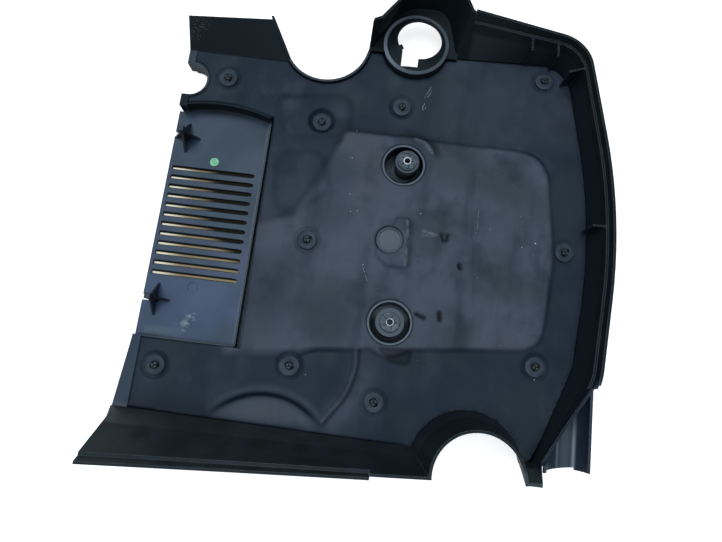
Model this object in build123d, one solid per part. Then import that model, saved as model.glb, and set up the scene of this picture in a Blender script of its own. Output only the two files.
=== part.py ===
from build123d import *
from math import copysign, cos, radians, sin
import os

# Moulded engine cover lying upside down, cavity up. All sizes in millimetres.
# While it is drawn, X runs along the grille slots and the gate boss is at X = Y = 0.

# Skin, walls and heights
skin = 3.0
wall = 2.6
edge_round = 7.0
fold = 22.0
rim = 60.0
skirt_rim_left = 88.0
skirt_rim_right = 83.0

# Left edge seen from above, from the upper flange down to the tip of the skirt
left_edge_line = [(-252.5, 240), (-253, -133), (-259.5, -204), (-255, -213), (-253, -256)]
left_edge = left_edge_line[1][0]
open_end = left_edge - rim
upper_left_y = 197.0

# Inner wall face, corner by corner: place up to the fold, place at the rim, corner radius
skirt_corners = [((open_end, -203), (open_end, -229), 0), ((165, -208), (160, -213.7), 6)]
trough_corner = ((201, -110), (210.2, -124.5), 60)
lobe_corner = ((50, 222), (61, 255), 8)
corners = [
    *skirt_corners,
    trough_corner,
    ((215.5, 40), (223.8, 44), 600),
    ((178, 227.5), (183.8, 231.3), 36),
    lobe_corner,
    ((36, 280), (45, 288), 24),
    ((-15, 276), (3, 290), 34),
    ((-44, 222), (-35, 237), 0),
    ((-118, upper_left_y), (-118, upper_left_y), 0),
    ((open_end, upper_left_y), (open_end, upper_left_y), 0),
]
far = 2 * max(place[0] for place, high, radius in corners)

# Stepped lip along the right and upper right rim
lip_step = 2.5
lip_height = 7.5
lip_end_y = -129.5
lip_end_x = 65.0

# Stepped lip along the left part of the skirt
skirt_lip_step = 3.0
skirt_lip_height = 6.5
skirt_lip_end_x = 5.0

# Flange along the left edge and sloped flange along the upper left edge
flange_level = 20.0
flange_width = 9.0
slope_rim_level = 42.0
slope_rim_left_y = 226.0
slope_rim_right_y = 237.0

# Leg and falling ridge beside the half-pipe trough
leg_right_x = 156.5
leg_foot_x = 166.5
ridge_low = 46.0
ridge_high = 58.0
ridge_top_y = -126.0
trough_inset = 21.7
trough_axis_level = 52.0
trough_radius = 19.0
trough_top_y = -112.0
trough_left_end_y = -212.0
trough_right_end_y = -205.0
trough_tab = 2.4
trough_tab_width = 9.0

# Half-round collar in the skirt, a cone that narrows towards its rim
collar_x = 100.2
collar_y = -222.0
collar_rim_level = 84.0
collar_rim_radius = 41.0
collar_lean = 0.205

# U-shaped cut-out between the upper left flange and the filler lobe
u_x = -96.0
u_y = 224.2
u_radius = 47.0
u_left_flare = 30.0
u_right_flare = 15.0
u_lip_level = 24.0

# Round notch in the left edge
notch_x = -245.8
notch_y = 161.8
notch_radius = 19.0

# Oil filler well with its conical lip
filler_x = 4.5
filler_y = 229.0
filler_radius = 37.0
filler_level = 30.0
filler_ring_width = 3.5
filler_mouth_radius = 25.0
filler_mouth_shift = (3.5, 4.5)
filler_lip_rise = 6.0
filler_notch_x = (-14.5, 4)
filler_notch_reach = 29.0
filler_lug_angle = 211.0
filler_lug_reach = 3.5
filler_lug_width = 5.0

# Raised floor of the lobe round the filler
lobe_floor = 24.6

# Grille panel: slots, frame ribs, clip posts and edge notches
panel_left_x = -257.5
panel_right_x = -149.0
panel_low_y = -130.0
panel_left_top_y = 129.0
panel_right_top_y = 125.0
panel_top_bulge = 8.0
panel_rib = 1.6
panel_rib_height = 9.0
panel_bank_height = 16.0
slot_count = 12
slot_pitch = 11.0
slot_width = 4.2
slot_left_margin = 4.0
slot_right_margin = 10.0
slot_middle_y = 0.0
clip_spots = [(-242, -90), (-242, 97)]
clip_notch_shifts = [0.7, 3.5]
clip_core = 6.0
clip_height = 27.0
clip_fin_height = 21.6
clip_fin = 2.2
clip_fin_reach_x = 15.0
clip_fin_reach_y = 18.0
clip_notch_width = 6.0
clip_notch_depth = 8.0
pad_mark_x = -205.5
pad_mark_y = -73.0
pad_mark_radius = 5.5
pad_mark_depth = 0.5

# Gate boss and socket towers
gate_radius = 14.0
gate_level = 24.0
gate_ring = 1.3
gate_ring_rise = 1.4
upper_cup_spot = (6, 86)
upper_socket_spot = (9.5, 89.5)
lower_socket_spot = (10, -87)
cup_radius = 23.5
cup_wall = 2.2
cup_level = 24.0
tower_level = 26.0
upper_tower_radius = 13.0
lower_tower_radius = 15.0
socket_radius = 8.5
socket_depth = 13.0
socket_fit = 0.1
socket_head_radius = 10.6
socket_head_height = 2.4
socket_head_round = 0.8
stud_radius = 3.0
stud_depth = 12.0
socket_slit_count = 5
socket_slit_inner = 4.2
socket_slit_outer = 7.4
socket_slit_width = 1.4
socket_slit_depth = 3.0

# Ribs between the leaning wall and the floor: place, direction and length
rib_thickness = 2.0
rib_level = 52.0
wall_ribs = [((158, 231), 90, 24), ((184, 207), 20, 28), ((212, 34), 0, 18), ((130, 230), 90, 14)]

# Foam liner and its relief
liner_gap = 1.5
liner_hole_gap = 0.5
liner_level = 21.0
liner_edge_round = 3.0
field_rise = 4.0
field_taper = 40.0
field_corners = [
    ((-150, -131), 0),
    ((164, -94), 26),
    ((172, 0), 300),
    ((159, 114), 36),
    ((-59, 116), 8),
    ((-78, 60), 30),
    ((-104, 10), 20),
    ((-150, -8), 0),
]
window_gap_top = 6.0
window_gap_bottom = 11.0
moon_x = -103.0
moon_y = -247.0
moon_radius = 74.0
moon_depth = 4.0
moon_base_y = -198.0
welt_radius = 4.0
welt_sides = 8
welt_start = (-20, -119)
welt_middle = (-26, -162)
welt_end = (-45, -190)
gate_block_left = -15.0
gate_block_right = 21.0
gate_block_half_height = 25.0
gate_block_rise = 2.0
liner_slit_spots = [(58, 10), (61, -76)]
liner_slit_width = 4.0
liner_slit_length = 9.0
liner_slit_depth = 7.0

# Push-on retainers and the posts that carry them: outside the raised field, then on it
retainer_spots = [
    (-203, 168), (-90, 127), (-3, 156), (154, 207), (187, 10),
    (163, -114), (-224, -159), (-87, -143), (3, -169),
]
field_retainer_spots = [(-87, -10)]
post_radius = 3.0
post_proud = 1.0
post_room = 1.0
retainer_radius = 11.5
retainer_sides = 8
retainer_thickness = 2.4
retainer_round = 0.7
retainer_fit = 0.15
retainer_dish_radius = 5.5
retainer_dish_depth = 1.0
dimple_depth = 2.0
dimple_taper = 55.0
dimple_room = 1.0

# Round sticker on the grille panel
dot_x = -207.0
dot_y = 72.0
dot_radius = 5.0
dot_thickness = 0.3


# Basic shapes
def block(x_range, y_range, z_range):
    size = [high - low for low, high in (x_range, y_range, z_range)]
    middle = [(low + high) / 2 for low, high in (x_range, y_range, z_range)]
    return Pos(*middle) * Box(*size)


def rod(x, y, radius, low, high):
    return Pos(x, y, (low + high) / 2) * Cylinder(radius, high - low)


def cone(x, y, low_radius, high_radius, low, high):
    return Pos(x, y, (low + high) / 2) * Cone(low_radius, high_radius, high - low)


# Prism along X of an outline given as (y, z) points
def side_prism(points, x_low, x_high):
    face = make_face(Polyline(*[(x_low, y, z) for y, z in points], close=True))
    return extrude(face, amount=x_high - x_low, dir=(1, 0, 0))


# Prism along Y of an outline given as (x, z) points
def front_prism(points, y_low, y_high):
    face = make_face(Polyline(*[(x, y_low, z) for x, z in points], close=True))
    return extrude(face, amount=y_high - y_low, dir=(0, 1, 0))


def slab(face, low, high):
    return extrude(Pos(0, 0, low) * face, amount=high - low, dir=(0, 0, 1))


# Outline of the pan at a level: the walls lean out above the fold, the skirt goes on above the rim
def corner_place(index, level):
    low, high, radius = corners[index]
    share = max(level - fold, 0) / (rim - fold)
    if index >= len(skirt_corners):
        share = min(share, 1)
    return Vector(*low) + (Vector(*high) - Vector(*low)) * share


def pan_outline(level, grow=0.0):
    places = [corner_place(index, level) for index in range(len(corners))]
    points = []
    radii = []
    for index, place in enumerate(places):
        before = (place - places[index - 1]).normalized()
        after = (places[(index + 1) % len(places)] - place).normalized()
        out_before = Vector(before.Y, -before.X)
        out_after = Vector(after.Y, -after.X)
        points.append(place + (out_before + out_after) * (grow / (1 + out_before.dot(out_after))))
        radius = corners[index][2]
        radii.append(radius + copysign(grow, grow * before.cross(after).Z) if radius else 0)
    return make_face(FilletPolyline(*points, radius=radii, close=True))


def pan_solid(levels, grow=0.0):
    return loft([Pos(0, 0, level) * pan_outline(level, grow) for level in levels], ruled=True)


top_level = max(skirt_rim_left, skirt_rim_right) + wall


def pan_outside():
    foot = slab(pan_outline(0, wall), 0, fold)
    foot = fillet(foot.faces().sort_by(Axis.Z)[0].edges(), edge_round)
    return foot + pan_solid([fold, rim, top_level], wall)


def pan_cavity():
    return pan_solid([skin, fold, rim, top_level])


# U-shaped cut-out: a round bottom and two tangent sides that flare to the mouth
def u_face(grow=0.0):
    radius = u_radius + grow
    left = radians(180 + u_left_flare)
    right = radians(360 - u_right_flare)
    left_foot = Vector(radius * cos(left), radius * sin(left))
    right_foot = Vector(radius * cos(right), radius * sin(right))
    left_end = left_foot + Vector(sin(left), -cos(left)) * 3 * u_radius
    right_end = right_foot + Vector(-sin(right), cos(right)) * 3 * u_radius
    mouth = make_face(Polyline(left_foot, right_foot, right_end, left_end, close=True))
    return Pos(u_x, u_y) * (Circle(radius) + mouth)


def notch_face(grow=0.0):
    radius = notch_radius + grow
    mouth = Pos(-rim / 2, 0) * Rectangle(rim, 2 * radius)
    return Pos(notch_x, notch_y) * (Circle(radius) + mouth)


def collar_cone(grow=0.0, low=0.0):
    low_radius = collar_rim_radius + (collar_rim_level - low) * collar_lean + grow
    return cone(collar_x, collar_y, low_radius, collar_rim_radius + grow, low, collar_rim_level)


# Upper edge of the grille panel, a shallow arc
def panel_top_arc(rise=0.0):
    start = Vector(left_edge, panel_left_top_y + rise)
    end = Vector(panel_right_x, panel_right_top_y + rise)
    return ThreePointArc(start, (start + end) / 2 + Vector(0, panel_top_bulge), end)


def panel_face(rise, right_top, right_low):
    arc = panel_top_arc(rise)
    low_y = panel_low_y - rise
    top_corner = (panel_right_x + right_top, (arc @ 1).Y)
    low_corner = (panel_right_x + right_low, low_y)
    edges = [arc, Polyline(top_corner, low_corner, (open_end, low_y), (open_end, (arc @ 0).Y), arc @ 0)]
    if right_top:
        edges.append(Line(arc @ 1, top_corner))
    return make_face(edges)


skirt_y = skirt_corners[0][0][1] + wall


# All that lies above the sloping rim of the skirt, or above a line that far below it
def above_skirt_rim(drop=0.0):
    slope = (skirt_rim_right - skirt_rim_left) / (leg_right_x - left_edge)
    start = (open_end, skirt_rim_left + (open_end - left_edge) * slope - drop)
    end = (leg_right_x, skirt_rim_right - drop)
    return front_prism([start, end, (leg_right_x, far), (open_end, far)], -far, skirt_y)


# Room that the leg may fill: its right edge leans in from the ridge to the rim of the skirt
def leg_room():
    edge = [(leg_foot_x, ridge_low), (leg_right_x, skirt_rim_right)]
    return front_prism([*edge, (collar_x, skirt_rim_right), (collar_x, ridge_low)], -far, skirt_y)


# Walls that are trimmed to their own rim heights
def trim_rims(body):
    above_rim = block((-far, far), (skirt_y, far), (rim, far))
    ridge = [(-far, ridge_low), (trough_left_end_y, ridge_low), (ridge_top_y, ridge_high)]
    above_ridge = side_prism([*ridge, (ridge_top_y, far), (-far, far)], leg_right_x, far) - leg_room()
    above_flange = block((-far, u_x), (0, far), (flange_level, far))
    return body - above_rim - above_skirt_rim() - above_ridge - above_flange


# All that lies left of the left edge
def left_scrap():
    start, end = left_edge_line[0], left_edge_line[-1]
    points = [(start[0], far), *left_edge_line, (end[0], -far), (-far, -far), (-far, far)]
    return slab(make_face(Polyline(*points, close=True)), -wall, far)


# Stepped lip: a band that stands a step further out than the wall below it
def rim_lip(cavity_side):
    low = rim - lip_height - (0 if cavity_side else wall)
    grow = lip_step + (0 if cavity_side else wall)
    band = pan_solid([low, rim], grow)
    keep = block((lip_end_x, far), (lip_end_y, far), (0, far))
    return band & keep


# Smaller step of the same kind along the left part of the skirt
def skirt_lip(cavity_side):
    drop = skirt_lip_height + (0 if cavity_side else wall)
    grow = skirt_lip_step + (0 if cavity_side else wall)
    band = pan_solid([rim, top_level], grow) & above_skirt_rim(drop)
    return band - block((skirt_lip_end_x, far), (-far, far), (0, far))


def left_flange(outside):
    inner_x = left_edge + flange_width
    pieces = []
    for low_y, high_y in ((-far, panel_low_y), (panel_left_top_y, far)):
        pieces.append(block((inner_x - wall, inner_x), (low_y, high_y), (0, flange_level)) & outside)
        pieces.append(block((-far, inner_x), (low_y, high_y), (flange_level - wall, flange_level)) & outside)
    return pieces


def sloped_flange():
    sections = []
    for x, rim_y in ((left_edge, slope_rim_left_y), (u_x, slope_rim_right_y)):
        points = [
            (x, upper_left_y, flange_level),
            (x, rim_y, slope_rim_level),
            (x, rim_y + wall / 2, slope_rim_level - wall),
            (x, upper_left_y + wall, flange_level - 2 * wall),
            (x, upper_left_y, flange_level - 2 * wall),
        ]
        sections.append(make_face(Polyline(*points, close=True)))
    return loft(sections, ruled=True)


# Collar wall round the U cut-out: low at the bottom, rising with the sloped flange on its left side
def u_collar(outside):
    ring = slab(u_face(wall) - u_face(), 0, slope_rim_level)
    above = side_prism(
        [(-far, u_lip_level), (upper_left_y, u_lip_level), (slope_rim_right_y, slope_rim_level + wall),
         (slope_rim_right_y, far), (-far, far)], -far, far)
    end_y = slope_rim_right_y + wall
    below = side_prism([(upper_left_y + wall, -wall), (end_y, flange_level), (end_y, -wall)], -far, u_x)
    left_part = (ring & block((-far, u_x), (0, slope_rim_right_y), (0, far))) - above - below
    right_part = (ring & block((u_x, far), (0, far), (0, u_lip_level))) & outside
    return left_part + right_part


def filler_well():
    inner = filler_radius - wall
    ring_inner = filler_radius - filler_ring_width
    crest = filler_level + filler_lip_rise
    crest_radius = filler_mouth_radius - max(filler_mouth_shift) - wall
    profile = Polyline(
        (inner, 0, 0), (filler_radius, 0, 0), (filler_radius, 0, filler_level),
        (ring_inner, 0, filler_level), (crest_radius, 0, crest), (crest_radius, 0, crest - wall),
        (ring_inner - wall / 2, 0, filler_level - wall), (inner, 0, filler_level - wall), close=True)
    well = revolve(make_face(profile), axis=Axis.Z)
    well -= rod(*filler_mouth_shift, filler_mouth_radius, 0, crest + wall)
    well -= block(filler_notch_x, (-filler_notch_reach, 0), (0, crest + wall))
    lug_middle = filler_mouth_radius - filler_lug_reach / 2 + wall / 2
    lug = Pos(lug_middle, 0, crest - wall) * Box(filler_lug_reach + wall, filler_lug_width, wall)
    well += Pos(*filler_mouth_shift) * Rot(0, 0, filler_lug_angle) * lug
    return Pos(filler_x, filler_y) * well


# Filler well on the raised floor of the lobe, with a step wall down to the skin
def add_filler(body, cavity):
    (step_x, step_y), high, radius = lobe_corner
    lobe_x = (u_x + u_radius / 2, step_x + wall)
    lobe_y = (step_y - wall, far)
    zone = block(lobe_x, lobe_y, (skin, fold)) & cavity
    floor = slab(pan_outline(fold, wall), lobe_floor - wall, lobe_floor) & block(lobe_x, lobe_y, (0, rim))
    step = zone & block(lobe_x, (step_y - wall, step_y), (0, rim))
    well_bore = rod(filler_x, filler_y, filler_radius - wall, -wall, lobe_floor)
    body = body + floor + step + filler_well()
    body -= block(lobe_x, (step_y, far), (-wall, lobe_floor - wall))
    return body - well_bore


# Half-pipe with a slanting end and a small tab on its right edge
def trough(outside):
    middle_y = (trough_top_y + trough_left_end_y) / 2
    length = trough_top_y - trough_left_end_y
    radius = trough_radius + wall
    pipe = Cylinder(radius, length) - Cylinder(trough_radius, length)
    trough_x = trough_corner[1][0] - trough_inset
    pipe = Pos(trough_x, middle_y, trough_axis_level) * Rot(90, 0, 0) * pipe
    tab_x = trough_x + radius - trough_tab_width
    tab_y = trough_right_end_y - trough_tab
    end = [(trough_x - radius, trough_left_end_y), (tab_x, trough_right_end_y), (tab_x, tab_y), (far, tab_y)]
    beyond = make_face(Polyline(*end, (far, -far), (trough_x - radius, -far), close=True))
    pipe -= slab(beyond, 0, rim)
    return pipe - block((0, far), (-far, 0), (trough_axis_level, far)) - outside


# Flat leg that carries the skirt past the rounded corner beside the trough
def leg_plate():
    (low_x, low_y), (high_x, high_y), radius = skirt_corners[-1]
    lean = (high_y - low_y) / (rim - fold)
    top_y = low_y + lean * (skirt_rim_right - fold)
    face = [(low_y - wall / 4, fold), (top_y - wall / 4, skirt_rim_right)]
    back = [(y - wall, z) for y, z in reversed(face)]
    plate = side_prism([*face, *back], collar_x + collar_rim_radius, leg_foot_x)
    foot = block((0, far), (-far, 0), (0, ridge_low))
    return (plate & foot) + (plate & leg_room())


def wall_rib(spot, angle, length, cavity):
    middle = Pos(spot[0], spot[1], (fold + rib_level) / 2)
    return middle * Rot(0, 0, angle) * Box(length, rib_thickness, rib_level - fold) & cavity


# Clip post: a square core with four fins that widen to the foot
def clip_post(x, y):
    core = block((-clip_core / 2, clip_core / 2), (-clip_core / 2, clip_core / 2), (0, clip_height))
    left_reach = min(clip_fin_reach_x, x - panel_left_x)
    fin_x = front_prism(
        [(-left_reach, 0), (clip_fin_reach_x, 0), (0, clip_fin_height)], -clip_fin / 2, clip_fin / 2)
    fin_y = side_prism(
        [(-clip_fin_reach_y, 0), (clip_fin_reach_y, 0), (0, clip_fin_height)], -clip_fin / 2, clip_fin / 2)
    return Pos(x, y, skin) * (core + fin_x + fin_y)


def panel_frame():
    right = block((panel_right_x, panel_right_x + panel_rib), (panel_low_y, panel_right_top_y),
                  (0, skin + panel_rib_height))
    low = block((left_edge, panel_right_x + panel_rib), (panel_low_y - panel_rib, panel_low_y),
                (0, skin + panel_bank_height))
    bank = panel_face(panel_rib, panel_rib, panel_rib) - panel_face(0, panel_rib, panel_rib)
    bank -= Pos(0, -far) * Rectangle(4 * far, 2 * far)
    bank -= Pos(left_edge - far, 0) * Rectangle(2 * far, 4 * far)
    floor = panel_face(0, 0, 0) - Pos(panel_left_x - far, 0) * Rectangle(2 * far, 4 * far)
    return [right, low, slab(bank, 0, skin + panel_bank_height), slab(floor, 0, skin)]


def grille_slots():
    first_y = slot_middle_y - (slot_count - 1) * slot_pitch / 2
    left_x = panel_left_x + slot_left_margin
    right_x = panel_right_x - slot_right_margin
    slot = Pos((left_x + right_x) / 2, first_y) * SlotOverall(right_x - left_x, slot_width)
    return [slab(Pos(0, i * slot_pitch) * slot, -wall, skin + wall) for i in range(slot_count)]


def gate_boss():
    boss = rod(0, 0, gate_radius, 0, gate_level + gate_ring_rise)
    return boss - rod(0, 0, gate_radius - gate_ring, gate_level, gate_level + 2 * gate_ring_rise)


def socket_tower(cup_spot, spot, radius):
    cup = rod(*cup_spot, cup_radius, 0, cup_level) - rod(*cup_spot, cup_radius - cup_wall, skin, tower_level)
    tower = rod(*spot, radius, 0, tower_level)
    bore = rod(*spot, socket_radius + socket_fit, tower_level - socket_depth, tower_level + wall)
    return cup + tower - bore


def retainer_seats():
    seats = [(x, y, liner_level - dimple_depth) for x, y in retainer_spots]
    return seats + [(x, y, liner_level + field_rise - dimple_depth) for x, y in field_retainer_spots]


def make_shell():
    outside = pan_outside()
    cavity = pan_cavity()
    body = outside + rim_lip(False) + skirt_lip(False) - cavity - rim_lip(True) - skirt_lip(True)
    body = trim_rims(body)
    body += leg_plate()
    body += (collar_cone(wall) & outside)
    for y_range in ((-far, panel_low_y), (panel_left_top_y, far)):
        body -= block((-far, left_edge + flange_width - wall), y_range, (-wall, flange_level - wall))
    body += left_flange(outside)
    body += sloped_flange()
    body += u_collar(outside)
    body += slab(notch_face(wall), 0, flange_level) & cavity & block((left_edge, 0), (0, far), (0, far))
    body -= left_scrap()
    body += trough(outside)
    body = add_filler(body, cavity)
    for rib in wall_ribs:
        body += wall_rib(*rib, cavity)
    body += panel_frame()
    for x, y in clip_spots:
        body += clip_post(x, y)
    body += gate_boss()
    body += socket_tower(upper_cup_spot, upper_socket_spot, upper_tower_radius)
    body += socket_tower(lower_socket_spot, lower_socket_spot, lower_tower_radius)
    for x, y, seat in retainer_seats():
        body += rod(x, y, post_radius, 0, seat + retainer_thickness + post_proud)
    body -= collar_cone(0, -wall)
    body -= rod(collar_x, collar_y, collar_rim_radius, collar_rim_level, top_level)
    body -= slab(u_face(), -wall, top_level)
    body -= slab(notch_face(), -wall, fold)
    body -= grille_slots()
    for (x, y), shift in zip(clip_spots, clip_notch_shifts):
        y_range = (y + shift - clip_notch_width / 2, y + shift + clip_notch_width / 2)
        body -= block((-far, panel_left_x + clip_notch_depth), y_range, (-wall, skin + wall))
    return body - rod(pad_mark_x, pad_mark_y, pad_mark_radius, skin - pad_mark_depth, skin + wall)


def make_liner():
    inset = -liner_gap
    foam = slab(pan_outline(0, inset), skin, liner_level)
    foam = chamfer(foam.faces().sort_by(Axis.Z)[-1].edges(), liner_edge_round)
    field_points = [point for point, radius in field_corners]
    field_radii = [radius for point, radius in field_corners]
    field = make_face(FilletPolyline(*field_points, radius=field_radii, close=True))
    foam += extrude(Pos(0, 0, liner_level) * field, amount=field_rise, taper=field_taper)
    foam += block((gate_block_left, gate_block_right), (-gate_block_half_height, gate_block_half_height),
                  (liner_level, liner_level + field_rise + gate_block_rise))
    moon = Pos(moon_x, moon_y) * Circle(moon_radius)
    moon -= Pos(moon_x, moon_base_y - moon_radius) * Rectangle(4 * moon_radius, 2 * moon_radius)
    moon_top_y = moon_y + moon_radius
    slope = [(moon_base_y, liner_level), (moon_top_y, liner_level - moon_depth)]
    above = side_prism([*slope, (moon_top_y, rim), (moon_base_y, rim)], -far, far)
    foam -= slab(moon, skin, rim) & above
    path = ThreePointArc(*[(*spot, liner_level) for spot in (welt_start, welt_middle, welt_end)])
    profile = Plane(path @ 0, z_dir=path % 0) * RegularPolygon(welt_radius, welt_sides)
    foam += sweep(profile, path=path)
    left_x = left_edge + flange_width + liner_gap
    foam -= block((-far, left_x), (-far, far), (0, rim))
    window = panel_face(panel_rib + liner_gap, window_gap_top, window_gap_bottom)
    foam -= slab(window, 0, rim)
    foam -= slab(u_face(wall + liner_gap), 0, rim)
    foam -= slab(notch_face(wall + liner_gap), 0, rim)
    foam -= collar_cone(wall + liner_gap, 0)
    (step_x, step_y), high, radius = lobe_corner
    foam -= block((u_x, step_x + wall), (step_y - wall - liner_gap, far), (0, rim))
    foam -= rod(filler_x, filler_y, filler_radius + liner_hole_gap, 0, rim)
    foam -= rod(0, 0, gate_radius + liner_hole_gap, 0, rim)
    for spot in (upper_cup_spot, lower_socket_spot):
        foam -= rod(*spot, cup_radius + liner_hole_gap, 0, rim)
    for x, y, seat in retainer_seats():
        foot = Pos(x, y, seat) * RegularPolygon(retainer_radius + dimple_room, retainer_sides)
        foam -= extrude(foot, amount=2 * dimple_depth, taper=-dimple_taper)
        foam -= rod(x, y, post_radius + post_room, 0, rim)
    level = liner_level + field_rise
    slit = Box(liner_slit_width, liner_slit_length, 2 * liner_slit_depth)
    for x, y in liner_slit_spots:
        foam -= Pos(x, y, level) * slit
    return foam


def make_retainer(x, y, seat):
    disc = extrude(RegularPolygon(retainer_radius, retainer_sides), amount=retainer_thickness / 2, both=True)
    disc = chamfer(disc.faces().sort_by(Axis.Z)[-1].edges(), retainer_round)
    top = retainer_thickness / 2
    dish = Pos(0, 0, top) * RegularPolygon(retainer_dish_radius, retainer_sides)
    disc -= extrude(dish, amount=-retainer_dish_depth)
    disc -= Cylinder(post_radius + retainer_fit, 2 * retainer_thickness)
    return Pos(x, y, seat + top) * disc


def make_socket(spot):
    floor = tower_level - socket_depth
    head_top = tower_level + socket_head_height
    body = rod(0, 0, socket_radius, floor, tower_level)
    head = rod(0, 0, socket_head_radius, tower_level, head_top)
    body += chamfer(head.edges().sort_by(Axis.Z)[-1:], socket_head_round)
    body -= rod(0, 0, stud_radius, head_top - stud_depth, head_top + wall)
    slit = block(
        (socket_slit_inner, socket_slit_outer), (-socket_slit_width / 2, socket_slit_width / 2),
        (head_top - socket_slit_depth, head_top + wall))
    for i in range(socket_slit_count):
        body -= Rot(0, 0, i * 360 / socket_slit_count) * slit
    return Pos(*spot) * body


def make_dot():
    return rod(dot_x, dot_y, dot_radius, skin, skin + dot_thickness)


# All pieces, moved so that the cover stands on the origin
def make_parts():
    parts = {
        "cover_shell": make_shell(),
        "acoustic_liner": make_liner(),
        "liner_retainers": Compound([make_retainer(*seat).solid() for seat in retainer_seats()]),
        "upper_socket": make_socket(upper_socket_spot),
        "lower_socket": make_socket(lower_socket_spot),
        "inspection_dot": make_dot(),
    }
    middle = parts["cover_shell"].bounding_box().center()
    return {name: Pos(-middle.X, -middle.Y) * part for name, part in parts.items()}


if __name__ == "__main__":
    os.makedirs("parts", exist_ok=True)
    for name, part in make_parts().items():
        export_step(part, f"parts/{name}.step")
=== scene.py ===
import math
import random

import bpy
import numpy as np
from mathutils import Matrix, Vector
from mathutils.geometry import delaunay_2d_cdt
from mathutils.kdtree import KDTree


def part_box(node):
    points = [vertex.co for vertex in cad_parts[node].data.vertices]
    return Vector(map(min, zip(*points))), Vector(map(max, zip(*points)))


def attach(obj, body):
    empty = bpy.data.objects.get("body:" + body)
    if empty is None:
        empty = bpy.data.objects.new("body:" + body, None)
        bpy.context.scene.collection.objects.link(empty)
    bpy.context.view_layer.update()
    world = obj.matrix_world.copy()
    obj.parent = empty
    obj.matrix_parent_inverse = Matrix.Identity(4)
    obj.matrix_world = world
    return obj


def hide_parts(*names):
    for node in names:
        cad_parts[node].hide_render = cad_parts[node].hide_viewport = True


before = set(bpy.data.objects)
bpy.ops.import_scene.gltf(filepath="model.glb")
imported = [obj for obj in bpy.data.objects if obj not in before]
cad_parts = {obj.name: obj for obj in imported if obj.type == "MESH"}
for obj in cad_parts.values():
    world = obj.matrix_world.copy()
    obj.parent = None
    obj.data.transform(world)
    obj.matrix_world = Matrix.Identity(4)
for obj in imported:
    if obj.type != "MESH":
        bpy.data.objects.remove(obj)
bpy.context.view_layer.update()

# All places below are millimetres from the gate boss, X along the grille slots, Z up into the cavity
mm = 0.001
gateBoss = (0.0, 0.0)
upperSocket = (9.5, 89.5)
upperCup = (6.0, 86.0)
lowerSocket = (10.0, -87.0)
lowerCup = lowerSocket
filler = (4.5, 229.0)
socketLow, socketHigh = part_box("upper_socket")
gateX = (socketLow.x + socketHigh.x) / 2 - upperSocket[0] * mm
gateY = (socketLow.y + socketHigh.y) / 2 - upperSocket[1] * mm


def placeX(x):
    return gateX + x * mm


def placeY(y):
    return gateY + y * mm


def at(x, y, z=0.0):
    return Vector((placeX(x), placeY(y), z * mm))


# Camera, set to the photograph's view
cameraView = {
    "place": (-12.7, -144.7, 583.5), "towards": (-0.02325, 0.18939, -0.98163),
    "lens": 27.02, "sensor": 36.0, "clip": (0.01, 50.0),
}


def makeCamera():
    data = bpy.data.cameras.new("mainCamera")
    data.lens = cameraView["lens"]
    data.sensor_width = cameraView["sensor"]
    data.clip_start, data.clip_end = cameraView["clip"]
    camera = bpy.data.objects.new("mainCamera", data)
    bpy.context.collection.objects.link(camera)
    camera.location = at(*cameraView["place"])
    camera.rotation_mode = "QUATERNION"
    camera.rotation_quaternion = Vector(cameraView["towards"]).to_track_quat("-Z", "Y")
    bpy.context.scene.camera = camera


makeCamera()
print("stage: camera")


# Shader helpers: each adds nodes to a tree and gives back an output
def feed(tree, target, value):
    if isinstance(value, bpy.types.NodeSocket):
        tree.links.new(value, target)
    else:
        target.default_value = value


def feedAll(tree, node, values):
    for name, value in values.items():
        feed(tree, node.inputs[name], value)


def calc(tree, operation, first, second=0.0, clamp=False):
    node = tree.nodes.new("ShaderNodeMath")
    node.operation = operation
    node.use_clamp = clamp
    feed(tree, node.inputs[0], first)
    feed(tree, node.inputs[1], second)
    return node.outputs[0]


def vectorCalc(tree, operation, first, second):
    node = tree.nodes.new("ShaderNodeVectorMath")
    node.operation = operation
    feed(tree, node.inputs[0], first)
    feed(tree, node.inputs[1], second)
    return node.outputs


# Product of shares
def times(tree, *shares):
    result = shares[0]
    for share in shares[1:]:
        result = calc(tree, "MULTIPLY", result, share)
    return result


# Largest of shares
def most(tree, *shares):
    result = shares[0]
    for share in shares[1:]:
        result = calc(tree, "MAXIMUM", result, share)
    return result


def rest(tree, share):
    return calc(tree, "SUBTRACT", 1.0, share)


def blendColour(tree, share, first, second):
    node = tree.nodes.new("ShaderNodeMix")
    node.data_type = "RGBA"
    feed(tree, node.inputs[0], share)
    feed(tree, node.inputs[6], first)
    feed(tree, node.inputs[7], second)
    return node.outputs[2]


# Coats of (share, colour) over a first colour
def paint(tree, colour, coats):
    for share, coat in coats:
        colour = blendColour(tree, share, colour, coat)
    return colour


# Smooth step from low to high, or falling where low is the larger
def spread(tree, value, low, high, newLow=0.0, newHigh=1.0):
    node = tree.nodes.new("ShaderNodeMapRange")
    node.interpolation_type = "SMOOTHSTEP"
    feedAll(tree, node, {
        "Value": value, "From Min": low, "From Max": high, "To Min": newLow, "To Max": newHigh,
    })
    return node.outputs[0]


def objectCoords(tree):
    return tree.nodes.new("ShaderNodeTexCoord").outputs["Object"]


def surfaceNormal(tree):
    return tree.nodes.new("ShaderNodeNewGeometry").outputs["Normal"]


def splitUp(tree, vector):
    node = tree.nodes.new("ShaderNodeSeparateXYZ")
    tree.links.new(vector, node.inputs[0])
    return node.outputs


def objectPlace(tree):
    return splitUp(tree, objectCoords(tree))


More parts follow.
